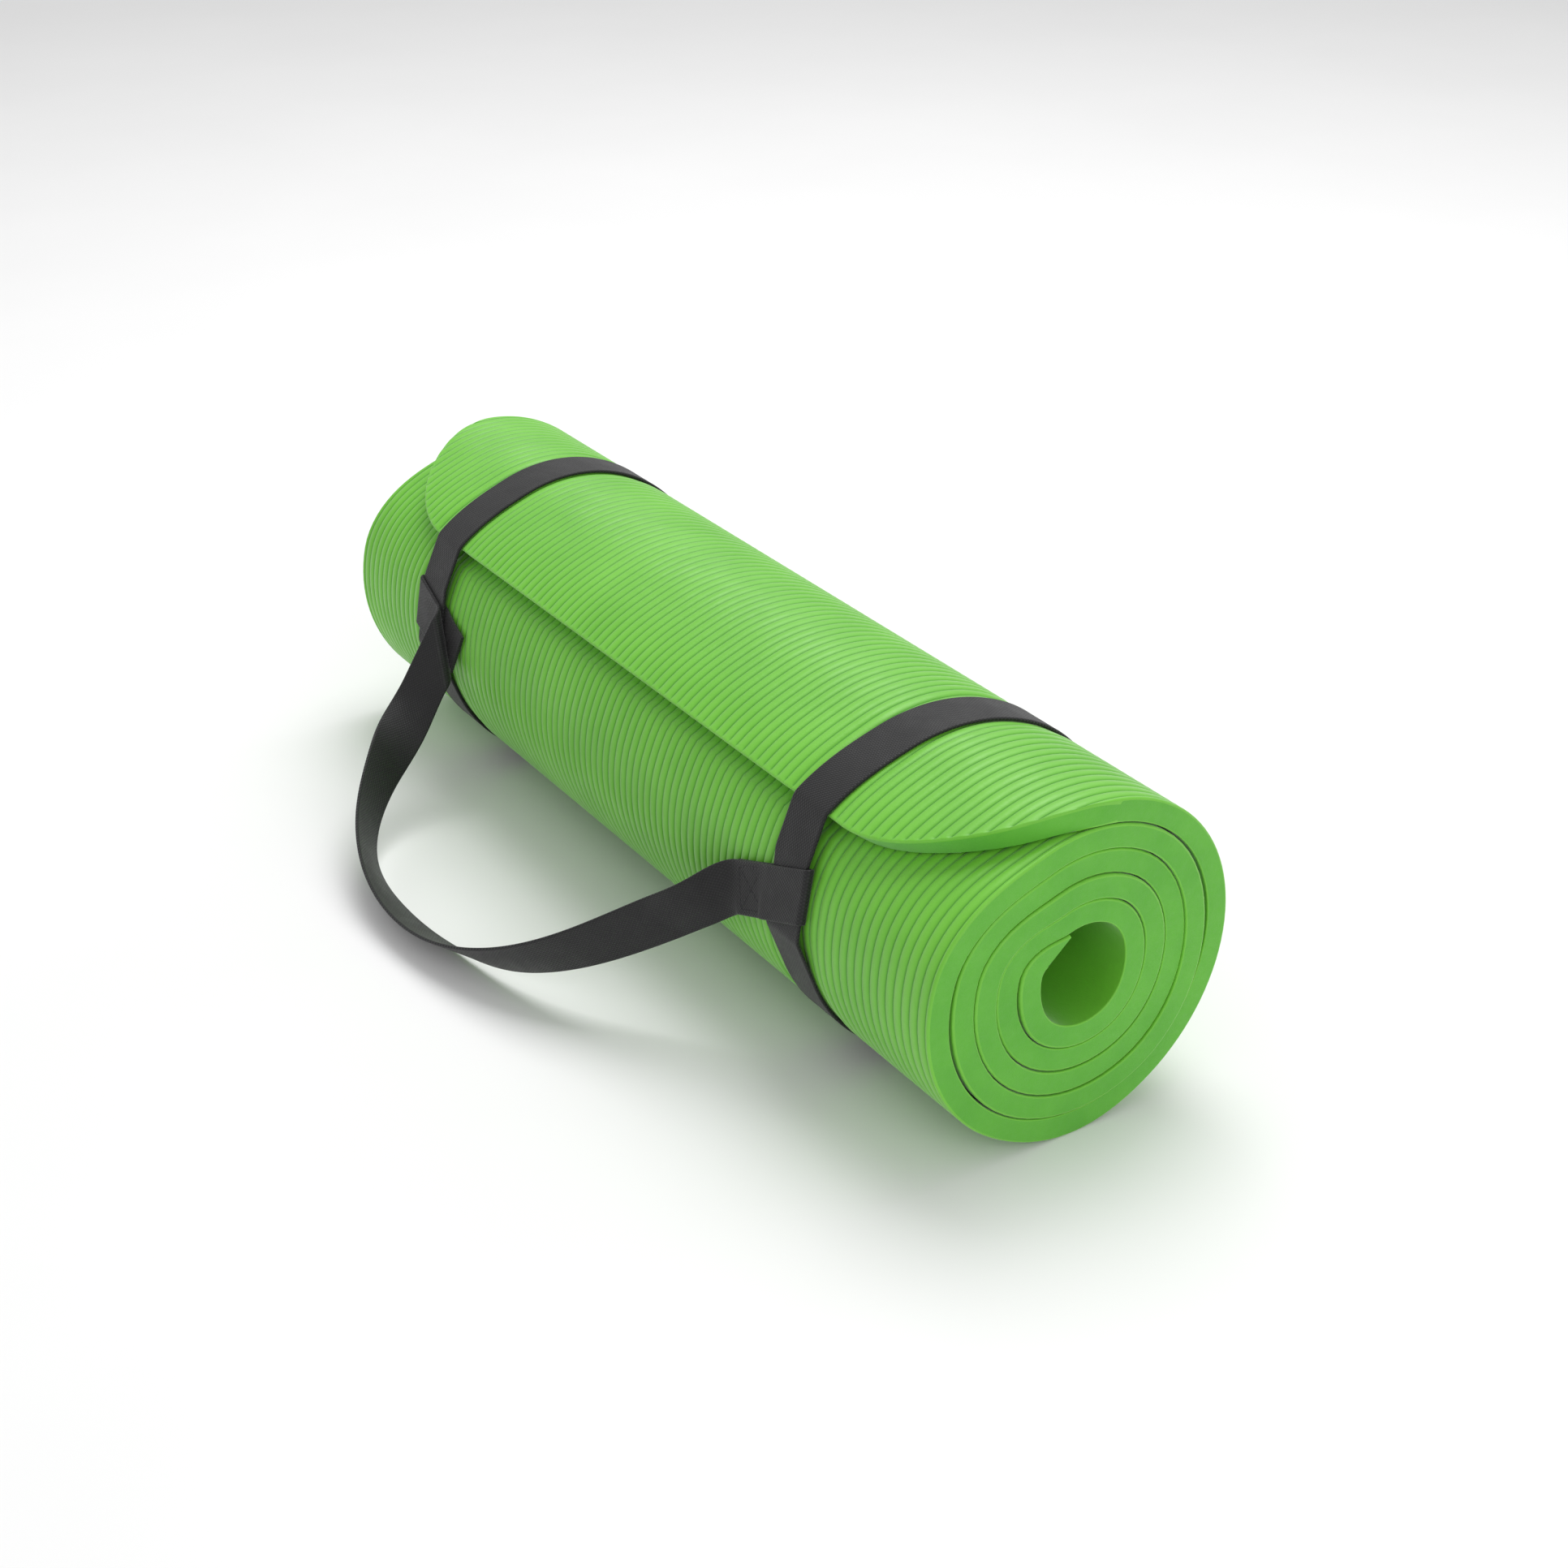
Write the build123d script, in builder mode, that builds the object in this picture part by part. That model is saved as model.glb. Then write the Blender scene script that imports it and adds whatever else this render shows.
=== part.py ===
"""A rolled exercise mat with its carry strap.

Frame: the roll lies along X, the carry handle hangs to -Y, Z is up and the floor is Z = 0.
X = 0 is the middle of the mat's width, and Y = 0 is the roll's own axis. All sizes are in mm.
Round the roll, phi is measured from the top (0) over the handle's side (90) to the floor (180).
A winding angle counts on from there by 360 for each turn, from the core outwards.
"""
from build123d import *
from math import acos, atan2, cos, degrees, hypot, radians, sin, tan
import os

# The mat: a foam sheet rolled up five times.
mat_width = 610
sheet = 12.2                # thickness of the foam in the roll
wrap_gap = 0.6              # air between one wrap and the next
pitch = sheet + wrap_gap
core_radius = 27            # radius of the hole through the roll
turns = 5
inner_tip_angle = 22        # winding angles of the sheared inner end: its tip
inner_end_angle = 62        # and its heel
free_end_angle = 52         # phi of the free end, after all the turns
climb_start = 20            # each wrap climbs over the inner end between these two angles
climb_end = 76
flat_depth = 1.0            # how much the foam is flattened where it rests
corner_end_angle = -10      # phi where the free end's rounded corners meet the ends of the roll

# The strap: two bands round the roll and a handle between them, all of one webbing.
webbing_width = 28
webbing = 1.8               # thickness
slip = 0.3                  # clearance between the strap and the mat
fold_gap = 0.1              # clearance between one webbing layer and the next
near_band_x = 191
far_band_x = -200
sleeve_angle = 80           # phi at which the handle is sewn round the bands
sleeve_skew = 20            # tilt of the handle's ends on the bands, in degrees
near_tab = 26               # the doubled, sewn stretch beside each band
far_tab = 14
fold_radius = 5             # beside the far band the handle is turned over, round this radius
fold_middle = (-168, -98.6, 98.5)
fold_direction = (-0.55, 0.14, 0.82)
lap_angle = 270             # phi at the middle of each band's own sewn lap
lap_length = 50

# The handle's centre line from the near band to the far one, as it lies:
# x, y, z and how far the webbing leans outwards from upright, in degrees.
handle_route = [
    (162, -94, 97.3, -10),
    (150, -95.5, 92.5, -8),
    (137, -106, 83, 0),
    (119, -120, 68, 5),
    (83, -151, 41, 20),
    (40, -176, 20, 40),
    (-10, -189, 10, 55),
    (-62, -192, 11, 45),
    (-110, -183, 22, 20),
    (-148, -154, 43, 25),
    (-167, -118, 76, 42),
    (-170, -103, 96, 58),
]
near_hinge = 3              # the points of the route where the handle starts to swing
far_hinge = 10
hinge_y = -119              # the line along X that it swings round
hinge_z = 72
hinge_gap = 0.8             # clearance at both ends of the swinging stretch
far_swing_radius = 20       # rounding of its far end about that line

# Stitching thread.
thread = 0.8
thread_height = 0.4
stitch_margin = 3           # from the edges of the webbing

outer_radius = core_radius + turns * pitch - wrap_gap
mat_bottom = webbing + slip
axis_height = mat_bottom - flat_depth + outer_radius
free_end = 360 * turns + free_end_angle


def wrap_radius(winding):
    """Radius of the sheet's inner face at a winding angle."""
    turn, phi = divmod(winding, 360)
    rise = min(max((phi - climb_start) / (climb_end - climb_start), 0), 1)
    return core_radius + pitch * (turn - 1 + rise * rise * (3 - 2 * rise))


def on_section(radius, phi):
    """The (y, z) of a point at a radius and an angle phi round the roll."""
    return (-radius * sin(radians(phi)), axis_height + radius * cos(radians(phi)))


def winding_line(first, last, offset):
    """Lines along the sheet from one winding angle to another, an offset outside its inner face."""
    angle = first
    while angle < last:
        start_of_turn = angle - angle % 360
        climbing = angle % 360 < climb_end
        stop = min(last, start_of_turn + (climb_end if climbing else 360 + climb_start))
        steps = 6 if climbing else 2
        stations = [angle + (stop - angle) * step / steps for step in range(steps + 1)]
        points = [on_section(wrap_radius(a) + offset, a) for a in stations]
        if climbing:
            Spline(*points)
        else:
            ThreePointArc(*points)
        angle = stop


def ends_at(radius_a, winding_a, radius_b, winding_b):
    """A straight line between two points of the section."""
    Line(on_section(radius_a, winding_a), on_section(radius_b, winding_b))


# --- The mat ---
# The tool that rounds the free end's corners stays in the last wrap's own layer.
layer_start = 360 * turns + corner_end_angle - 8
layer_end = free_end + 6
layer_top = outer_radius + 30
with BuildPart() as last_layer:
    with BuildSketch(Plane.YZ):
        with BuildLine():
            winding_line(layer_start, layer_end, -wrap_gap / 2)
            ends_at(wrap_radius(layer_start) - wrap_gap / 2, layer_start, layer_top, layer_start)
            Line(on_section(layer_top, layer_start), on_section(layer_top, layer_end))
            ends_at(layer_top, layer_end, wrap_radius(layer_end) - wrap_gap / 2, layer_end)
        make_face()
    extrude(amount=mat_width, both=True)

corner_phi = (corner_end_angle + free_end_angle) / 2
corner_radius = 2 * outer_radius * sin(radians((free_end_angle - corner_end_angle) / 2))
corner_normal = Vector(0, *on_section(1, corner_phi)) - Vector(0, 0, axis_height)
corner_plane = Plane(origin=(0, 0, axis_height), x_dir=(1, 0, 0), z_dir=corner_normal)
with BuildPart() as corner_cutter:
    with BuildSketch(corner_plane):
        # Local Y runs up and back over the roll, so the free edge is at -corner_radius / 2.
        for side in (-1, 1):
            arc_x = side * (mat_width / 2 - corner_radius)
            arc_y = corner_radius / 2
            outside_x = side * (mat_width / 2 + 5)
            outside_y = arc_y - corner_radius - 30
            with BuildLine():
                CenterArc((arc_x, arc_y), corner_radius, 270 if side > 0 else 180, 90)
                Polyline(
                    (arc_x, arc_y - corner_radius),
                    (arc_x, outside_y),
                    (outside_x, outside_y),
                    (outside_x, arc_y),
                    (side * mat_width / 2, arc_y),
                )
            make_face()
    extrude(amount=layer_top)
    add(last_layer.part, mode=Mode.INTERSECT)

with BuildPart() as mat:
    with BuildSketch(Plane.YZ):
        with BuildLine():
            winding_line(inner_tip_angle, free_end, sheet)
            winding_line(inner_end_angle, free_end, 0)
            ends_at(wrap_radius(inner_tip_angle) + sheet, inner_tip_angle,
                    wrap_radius(inner_end_angle), inner_end_angle)
            ends_at(wrap_radius(free_end) + sheet, free_end, wrap_radius(free_end), free_end)
        make_face()
    extrude(amount=mat_width / 2, both=True)
    add(corner_cutter.part, mode=Mode.SUBTRACT)
    with BuildSketch(Plane.XY):
        Rectangle(mat_width + 2, 4 * outer_radius)
    extrude(amount=mat_bottom, mode=Mode.SUBTRACT)
mat.part.label = "mat"

# --- The bands ---
# A band runs taut from the mat's free edge to the sleeve, flat through it, and back to the roll.
sleeve_normal = Vector(0, *on_section(1, sleeve_angle)) - Vector(0, 0, axis_height)
sleeve_floor = outer_radius + slip                   # distances from the roll's axis
band_floor = sleeve_floor + webbing + fold_gap
sleeve_roof = band_floor + webbing + fold_gap
sleeve_slope = tan(radians(sleeve_skew))
sleeve_height = webbing_width / cos(radians(sleeve_skew))
sleeve_reach = sleeve_height / 2 + sleeve_slope * webbing_width / 2
sleeve_half = webbing_width / 2 + fold_gap + webbing
band_radius = outer_radius + slip


def from_sleeve(distance, along):
    """The radius and phi of a point given from the middle of the sleeve."""
    return hypot(distance, along), sleeve_angle + degrees(atan2(along, distance))


band_turn = 360 * (turns - 1)


def band_line(depth):
    """A band's outline at a depth through its thickness: the mat's own, and then straight lines."""
    top = from_sleeve(band_floor + depth, -sleeve_reach)
    bottom = from_sleeve(band_floor + depth, sleeve_reach)
    radius = band_radius + depth
    touch_angle = bottom[1] + degrees(acos(radius / bottom[0]))
    winding_line(band_turn + touch_angle, free_end, sheet + slip + depth)
    ends_at(wrap_radius(free_end) + sheet + slip + depth, free_end, *top)
    ends_at(*top, *bottom)
    ends_at(*bottom, radius, touch_angle)


def band_disc(depth):
    """The whole section inside that outline, flattened where it rests on the floor."""
    with BuildSketch() as disc:
        with BuildLine():
            band_line(depth)
        make_face()
        with Locations((0, webbing - depth - webbing_width / 2)):
            Rectangle(4 * outer_radius, webbing_width, mode=Mode.SUBTRACT)
    return disc.sketch_local


lap_inside = band_radius + webbing / 2       # the lap starts inside the first layer
lap_outside = band_radius + 2 * webbing
half_lap = degrees(lap_length / 2 / lap_outside)
with BuildSketch() as lap:
    with BuildLine():
        for radius in (lap_inside, lap_outside):
            stations = [lap_angle + half_lap * share for share in (-1, 0, 1)]
            ThreePointArc(*[on_section(radius, station) for station in stations])
        for station in (lap_angle - half_lap, lap_angle + half_lap):
            ends_at(lap_inside, station, lap_outside, station)
    make_face()


def make_band(x):
    """One closed band of webbing, with the second layer of its sewn lap on the back."""
    with BuildPart() as band:
        with BuildSketch(Plane.YZ.offset(x - webbing_width / 2)):
            add(band_disc(webbing))
            add(band_disc(0), mode=Mode.SUBTRACT)
            add(lap.sketch_local)
        extrude(amount=webbing_width)
    return band


near_band = make_band(near_band_x)
near_band.part.label = "near_band"
far_band = make_band(far_band_x)
far_band.part.label = "far_band"


# --- The handle ---
def route_section(index):
    """The plane across the webbing at a point of its route: local X runs up its width."""
    x, y, z, lean = handle_route[index]
    before = Vector(*handle_route[max(index - 1, 0)][:3])
    after = Vector(*handle_route[min(index + 1, len(handle_route) - 1)][:3])
    run = (after - before).normalized()
    upright = (Vector(0, 0, 1) - run * run.Z).normalized()
    outwards = upright.cross(run)
    across = upright * cos(radians(lean)) + outwards * sin(radians(lean))
    return Plane(origin=Vector(x, y, z), x_dir=across, z_dir=run)


def make_stretch(first, last):
    """The handle's webbing between two points of its route."""
    with BuildPart() as stretch:
        for index in range(first, last + 1):
            with BuildSketch(route_section(index)):
                Rectangle(webbing_width, webbing)
        loft()
    return stretch


def make_far_swing(radius):
    """The room that the handle's far end turns in, round the hinge line."""
    with BuildPart() as room:
        with BuildSketch(Plane.YZ.offset(handle_route[far_hinge][0])):
            with Locations((hinge_y, hinge_z)):
                Circle(radius)
        extrude(amount=webbing_width, both=True)
    return room


near_hinge_x = handle_route[near_hinge][0]
far_end_stretch = make_stretch(far_hinge, len(handle_route) - 1)

# Its near end is cut straight across the hinge line, and its far end is rounded about that line.
with BuildPart() as far_end_tip:
    add(far_end_stretch.part)
    add(make_far_swing(far_swing_radius - hinge_gap).part, mode=Mode.INTERSECT)
with BuildPart() as carry_handle:
    add(make_stretch(near_hinge - 1, far_hinge).part)
    with BuildSketch(Plane.YZ.offset(near_hinge_x - hinge_gap / 2)):
        Rectangle(8 * outer_radius, 8 * outer_radius)
    extrude(amount=mat_width, mode=Mode.SUBTRACT)
    add(far_end_tip.part)
carry_handle.part.label = "carry_handle"


# --- The sleeves: the handle's ends, wrapped round the bands and sewn ---
def sleeve_plane(x, distance):
    """The plane along a sleeve at a distance from the roll's axis: local X is X, local Y is up."""
    origin = Vector(x, 0, axis_height) + sleeve_normal * distance
    return Plane(origin=origin, x_dir=(1, 0, 0), z_dir=sleeve_normal)


def sleeve_outline(side, first, last):
    """Corners of a stretch of the skewed webbing between two distances from the band's middle."""
    return [
        (side * along, -sleeve_slope * along + end * sleeve_height / 2)
        for along, end in ((first, 1), (last, 1), (last, -1), (first, -1))
    ]


def tab_outline(side, length):
    """Corners of the doubled stretch beside a band, which is cut square to its own run."""
    start = sleeve_outline(side, sleeve_half - webbing, sleeve_half)
    run = (cos(radians(sleeve_skew)), sin(radians(sleeve_skew)))
    end_x = sleeve_half + length * run[0]
    end_y = -sleeve_slope * sleeve_half - length * run[1]
    ends = [
        (side * (end_x + end * webbing_width / 2 * run[1]), end_y + end * webbing_width / 2 * run[0])
        for end in (1, -1)
    ]
    return [start[0], *ends, start[3]]


def make_sleeve(x, side, tab_length, leg):
    """A sleeve round a band with its tab, and the handle's fixed stretch from there to the hinge."""
    tab_floor = band_floor + webbing / 2 - webbing
    with BuildPart() as sleeve:
        with BuildSketch(sleeve_plane(x, sleeve_floor)):
            Polygon(*sleeve_outline(side, -sleeve_half, sleeve_half), align=None)
        extrude(amount=sleeve_roof + webbing - sleeve_floor)
        with BuildSketch(sleeve_plane(x, sleeve_floor + webbing)):
            Rectangle(webbing_width + 2 * fold_gap, 4 * webbing_width)
        extrude(amount=sleeve_roof - sleeve_floor - webbing, mode=Mode.SUBTRACT)
        with BuildSketch(sleeve_plane(x, tab_floor)):
            Polygon(*tab_outline(side, tab_length), align=None)
        extrude(amount=2 * webbing)
        add(leg.part)
    return sleeve


with BuildPart() as near_leg:
    add(make_stretch(0, near_hinge + 1).part)
    with BuildSketch(Plane.YZ.offset(near_hinge_x + hinge_gap / 2)):
        Rectangle(8 * outer_radius, 8 * outer_radius)
    extrude(amount=-mat_width, mode=Mode.SUBTRACT)
near_sleeve = make_sleeve(near_band_x, -1, near_tab, near_leg)
near_sleeve.part.label = "near_sleeve"

with BuildPart() as far_leg:
    add(far_end_stretch.part)
    add(make_far_swing(far_swing_radius).part, mode=Mode.SUBTRACT)
far_end = make_sleeve(far_band_x, 1, far_tab, far_leg)
with BuildPart() as far_sleeve:
    add(far_end.part)
    with BuildSketch(Plane(origin=fold_middle, z_dir=fold_direction)):
        Circle(fold_radius)
    extrude(amount=webbing_width / 2, both=True)
far_sleeve.part.label = "far_sleeve"


# --- The stitching ---
def make_lap_stitching(x):
    """Two close pairs of rows of thread across a band's lap, straight over its crown."""
    with BuildPart() as stitching:
        for share in (-0.8, -0.7, 0.7, 0.8):
            station = lap_angle + half_lap * share
            normal = Vector(0, *on_section(1, station)) - Vector(0, 0, axis_height)
            origin = Vector(x, 0, axis_height) + normal * lap_outside
            with BuildSketch(Plane(origin=origin, x_dir=(1, 0, 0), z_dir=normal)):
                Rectangle(webbing_width - 2 * stitch_margin, thread)
            extrude(amount=thread_height)
    return stitching


def tab_place(side, distance):
    """Where a point of a tab's middle line is, at a distance from the band's fold."""
    run = (cos(radians(sleeve_skew)), -sin(radians(sleeve_skew)))
    along = sleeve_half + distance * run[0]
    up = -sleeve_slope * sleeve_half + distance * run[1]
    return Location((side * along, up), side * -sleeve_skew)


tab_roof = band_floor + webbing / 2 + webbing
stitch_width = webbing_width - 2 * stitch_margin
stitch_length = near_tab - 2 * stitch_margin
with BuildPart() as near_sleeve_stitching:
    # A box with a cross in it.
    with BuildSketch(sleeve_plane(near_band_x, tab_roof)):
        with Locations(tab_place(-1, near_tab / 2)):
            Rectangle(stitch_length, stitch_width)
            Rectangle(stitch_length - 2 * thread, stitch_width - 2 * thread, mode=Mode.SUBTRACT)
            for lean in (-1, 1):
                Rectangle(hypot(stitch_length, stitch_width) - 2 * thread, thread,
                          rotation=lean * degrees(atan2(stitch_width, stitch_length)))
    extrude(amount=thread_height)
    add(near_sleeve.part, mode=Mode.SUBTRACT)
near_sleeve_stitching.part.label = "near_sleeve_stitching"

with BuildPart() as far_sleeve_stitching:
    # Two rows close to the band, where the turned-over handle leaves room.
    with BuildSketch(sleeve_plane(far_band_x, tab_roof)):
        for row in (1, 2):
            with Locations(tab_place(1, 2 * row * thread)):
                Rectangle(thread, stitch_width)
    extrude(amount=thread_height)
    add(far_sleeve.part, mode=Mode.SUBTRACT)
far_sleeve_stitching.part.label = "far_sleeve_stitching"

near_lap_stitching = make_lap_stitching(near_band_x)
near_lap_stitching.part.label = "near_lap_stitching"
far_lap_stitching = make_lap_stitching(far_band_x)
far_lap_stitching.part.label = "far_lap_stitching"

os.makedirs("parts", exist_ok=True)
for piece in (
    mat, near_band, far_band, near_sleeve, far_sleeve, carry_handle,
    near_lap_stitching, far_lap_stitching, near_sleeve_stitching, far_sleeve_stitching,
):
    export_step(piece.part, f"parts/{piece.part.label}.step")
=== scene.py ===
"""A rolled exercise mat with its carry strap: its looks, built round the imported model.

The frame is the model's, in metres: the roll lies along X, the handle hangs to -Y, the floor is Z = 0.
Round the roll, phi is measured in degrees from the top (0) over the handle's side (90) to the floor.
A winding angle counts on from there by 360 for each turn of the sheet, from the core outwards.
"""

from math import acos, atan2, cos, degrees, hypot, pi, radians, sin, sqrt, tan

import bpy
import numpy as np
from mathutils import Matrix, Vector


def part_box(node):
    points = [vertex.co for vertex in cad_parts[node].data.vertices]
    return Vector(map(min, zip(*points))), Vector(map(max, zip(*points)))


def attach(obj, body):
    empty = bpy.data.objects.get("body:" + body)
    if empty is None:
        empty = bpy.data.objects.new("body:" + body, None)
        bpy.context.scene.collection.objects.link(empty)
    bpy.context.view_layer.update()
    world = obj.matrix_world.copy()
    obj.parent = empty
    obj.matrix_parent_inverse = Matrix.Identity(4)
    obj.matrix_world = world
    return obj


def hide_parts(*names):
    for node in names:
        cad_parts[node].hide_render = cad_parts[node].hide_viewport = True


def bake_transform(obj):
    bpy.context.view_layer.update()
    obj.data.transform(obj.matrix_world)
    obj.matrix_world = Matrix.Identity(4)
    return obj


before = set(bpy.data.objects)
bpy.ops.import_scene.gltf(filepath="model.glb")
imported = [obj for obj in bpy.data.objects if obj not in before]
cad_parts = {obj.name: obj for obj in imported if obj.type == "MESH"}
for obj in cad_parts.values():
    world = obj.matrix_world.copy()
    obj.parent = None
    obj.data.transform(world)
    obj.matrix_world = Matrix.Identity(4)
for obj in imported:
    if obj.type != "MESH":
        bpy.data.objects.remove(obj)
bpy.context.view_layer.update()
mm = 0.001

# --- The roll, as in the part ---
mat_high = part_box("mat")[1]
half_width = mat_high.x
outer_radius = mat_high.y
axis_height = mat_high.z - outer_radius
turns = 5
wrap_gap = 0.6 * mm
core_radius = 27 * mm
pitch = (outer_radius + wrap_gap - core_radius) / turns
sheet = pitch - wrap_gap
inner_tip = 22
inner_heel = 62
free_end_phi = 52
climb_start = 20
climb_end = 76
corner_end_phi = -10

# --- The foam's own detail ---
ribs = 95
rib_depth = 1.0 * mm
end_margin = 3 * mm             # plain foam between the last rib and the end of the roll
end_round = 1.2 * mm            # rounding of the sheet's long edges, outside and inside
inside_round = 0.7 * mm
free_round = 1.6 * mm           # rounding of the free end
ribbed_from = 1424              # winding where the ribs are modelled from, still under the free end
foam_give = 0.8                 # how much of a crack each wrap passes on inwards
# Where cracks have opened: winding of the wrap inside it, half its length in degrees, its width.
cracks = [(1348, 62, 3.4 * mm), (1178, 52, 1.0 * mm), (615, 80, 0.6 * mm), (98, 42, 0.7 * mm)]
press = 1.2 * mm                # how far the bands are pressed into the foam
press_spread = 13 * mm          # how far beside a band the foam is drawn in

# --- The strap, as in the part ---
webbing_width = 28 * mm
webbing = 1.8 * mm
slip = 0.3 * mm
fold_gap = 0.1 * mm
sleeve_phi = 80
sleeve_skew = 20
near_tab = 26 * mm
far_tab = 20 * mm               # 6 mm longer than the part's
lap_phi = 270
lap_length = 50 * mm
near_band_x = (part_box("near_band")[0].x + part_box("near_band")[1].x) / 2
far_band_x = (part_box("far_band")[0].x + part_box("far_band")[1].x) / 2

# The handle's centre line between its ends, as it lies: x, y, z in mm and the outward lean in degrees.
handle_route = [
    (137, -106, 83, 0),
    (119, -120, 68, 5),
    (83, -151, 41, 20),
    (40, -176, 20, 40),
    (-10, -189, 10, 55),
    (-62, -192, 11, 45),
    (-110, -183, 22, 20),
    (-148, -154, 43, 25),
]
fold_place = 20 * mm            # how far from the far band's middle the handle is turned over
fold_slant = 38                 # angle between the fold and the webbing's own run
fold_turn = 142                 # how far it is turned, in degrees
fold_radius = 4.1 * mm
square_by = 16 * mm             # beside the near band, where the webbing starts to turn square to its run
far_square_by = -6 * mm         # and in front of the far band
square_over = 8 * mm            # how long that takes
tab_from = 15 * mm              # between these distances from a band the sleeve's layers come together
tab_to = 23 * mm
stitch_length = 2.3 * mm
stitch_radius = 0.36 * mm
stitch_rise = 0.12 * mm         # how much a stitch is bowed up in its middle
stitch_pitch = 3.0 * mm
stitch_margin = 3 * mm          # from the edges of the webbing
row_pitch = 1.6 * mm            # between the two rows beside the far band
webbing_smooth_angle = 55


def smooth(share):
    """0 below 0, 1 above 1, with a soft step between them."""
    share = np.clip(share, 0, 1)
    return share * share * (3 - 2 * share)


def bell(share):
    """1 at 0, falling softly to 0 at -1 and at 1."""
    return np.cos(np.clip(share, -1, 1) * pi / 2) ** 2


def wrap_floor(winding):
    """Radius of the sheet's inner face in the part's even spiral."""
    turn = np.floor(winding / 360)
    phi = winding - 360 * turn
    return core_radius + pitch * (turn - 1 + smooth((phi - climb_start) / (climb_end - climb_start)))


def drawn_in(winding):
    """How far a wrap has drawn in from that spiral, which opens the cracks outside it."""
    total = np.zeros_like(winding, dtype=float)
    for middle, half, width in cracks:
        for turn in range(turns):
            total += width * foam_give**turn * bell((winding + 360 * turn - middle) / half)
    return total


def new_object(name, vertices, faces, materials, smooth_angle=38):
    """A shaded mesh object from plain lists, with its edges sharp above an angle."""
    mesh = bpy.data.meshes.new(name)
    mesh.from_pydata([tuple(v) for v in vertices], [], faces)
    mesh.update()
    for material in materials:
        mesh.materials.append(material)
    mesh.polygons.foreach_set("use_smooth", [True] * len(mesh.polygons))
    mesh.set_sharp_from_angle(angle=radians(smooth_angle))
    made = bpy.data.objects.new(name, mesh)
    bpy.context.scene.collection.objects.link(made)
    return made


# --- Materials ---
class Nodes:
    """Builds one node material."""

    def __init__(self, name):
        self.material = bpy.data.materials.new(name)
        self.material.use_nodes = True
        self.tree = self.material.node_tree
        self.shader = self.tree.nodes["Principled BSDF"]

    def add(self, kind, **settings):
        node = self.tree.nodes.new(kind)
        for key, value in settings.items():
            if key in node.inputs:
                node.inputs[key].default_value = value
            else:
                setattr(node, key, value)
        return node

    def link(self, source, target):
        self.tree.links.new(source, target)

    def math(self, operation, first, second=None):
        node = self.tree.nodes.new("ShaderNodeMath")
        node.operation = operation
        for socket, value in zip(node.inputs, (first, second)):
            if isinstance(value, (int, float)):
                socket.default_value = value
            elif value is not None:
                self.link(value, socket)
        return node.outputs[0]

    def ramp(self, source, stops):
        node = self.tree.nodes.new("ShaderNodeValToRGB")
        while len(node.color_ramp.elements) < len(stops):
            node.color_ramp.elements.new(0.5)
        for element, (place, colour) in zip(node.color_ramp.elements, stops):
            element.position = place
            element.color = (*colour, 1)
        self.link(source, node.inputs[0])
        return node.outputs[0]

    def noise(self, scale, detail=3.0, roughness=0.55):
        place = self.add("ShaderNodeTexCoord")
        node = self.add("ShaderNodeTexNoise", Scale=scale, Detail=detail, Roughness=roughness)
        self.link(place.outputs["Object"], node.inputs["Vector"])
        return node.outputs["Fac"]

    def bump(self, height, distance, strength=1.0, under=None):
        node = self.add("ShaderNodeBump", Distance=distance, Strength=strength)
        self.link(height, node.inputs["Height"])
        if under is not None:
            self.link(under, node.inputs["Normal"])
        return node.outputs["Normal"]


def foam_skin():
    """The mat's moulded skin: lime green, softly mottled, with painted shade and a little dirt darkening
    the hollows between the ribs, and a dull sheen.
    """
    m = Nodes("foam_skin")
    groove_shade_and_dirt = m.add("ShaderNodeAttribute", attribute_name="groove_shade_and_dirt").outputs["Fac"]
    mottle = m.ramp(m.noise(22, 4), [(0.3, (0.135, 0.47, 0.028)), (0.7, (0.165, 0.53, 0.038))])
    # Painted shade with a little dirt: the base colour is multiplied darker by how deep a point sits in a
    # rib hollow.
    mix = m.add("ShaderNodeMix", data_type="RGBA", blend_type="MULTIPLY")
    m.link(groove_shade_and_dirt, mix.inputs[0])
    m.link(mottle, mix.inputs[6])
    mix.inputs[7].default_value = (0.42, 0.62, 0.35, 1)
    m.link(mix.outputs[2], m.shader.inputs["Base Color"])
    rough = m.ramp(m.noise(60, 3), [(0.3, (0.40,) * 3), (0.7, (0.52,) * 3)])
    m.link(rough, m.shader.inputs["Roughness"])
    wrinkle = m.bump(m.noise(180, 4), 0.25 * mm, 0.6)
    pores = m.bump(m.noise(1500, 2), 0.08 * mm, 0.6, wrinkle)
    m.link(pores, m.shader.inputs["Normal"])
    m.shader.inputs["Specular IOR Level"].default_value = 0.5
    m.shader.inputs["Sheen Weight"].default_value = 0.25
    m.shader.inputs["Sheen Roughness"].default_value = 0.4
    return m.material


def foam_cut():
    """The sheet's cut ends: the same foam, duller and finely open-pored."""
    m = Nodes("foam_cut")
    colour = m.ramp(m.noise(35, 5), [(0.3, (0.088, 0.40, 0.020)), (0.7, (0.115, 0.46, 0.028))])
    m.link(colour, m.shader.inputs["Base Color"])
    rough = m.ramp(m.noise(300, 3), [(0.3, (0.58,) * 3), (0.7, (0.75,) * 3)])
    m.link(rough, m.shader.inputs["Roughness"])
    saw = m.bump(m.noise(120, 3), 0.35 * mm, 0.5)
    place = m.add("ShaderNodeTexCoord")
    cells = m.add("ShaderNodeTexVoronoi", Scale=1400.0)
    m.link(place.outputs["Object"], cells.inputs["Vector"])
    m.link(m.bump(cells.outputs["Distance"], 0.15 * mm, 0.5, saw), m.shader.inputs["Normal"])
    m.shader.inputs["Sheen Weight"].default_value = 0.2
    return m.material


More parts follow.
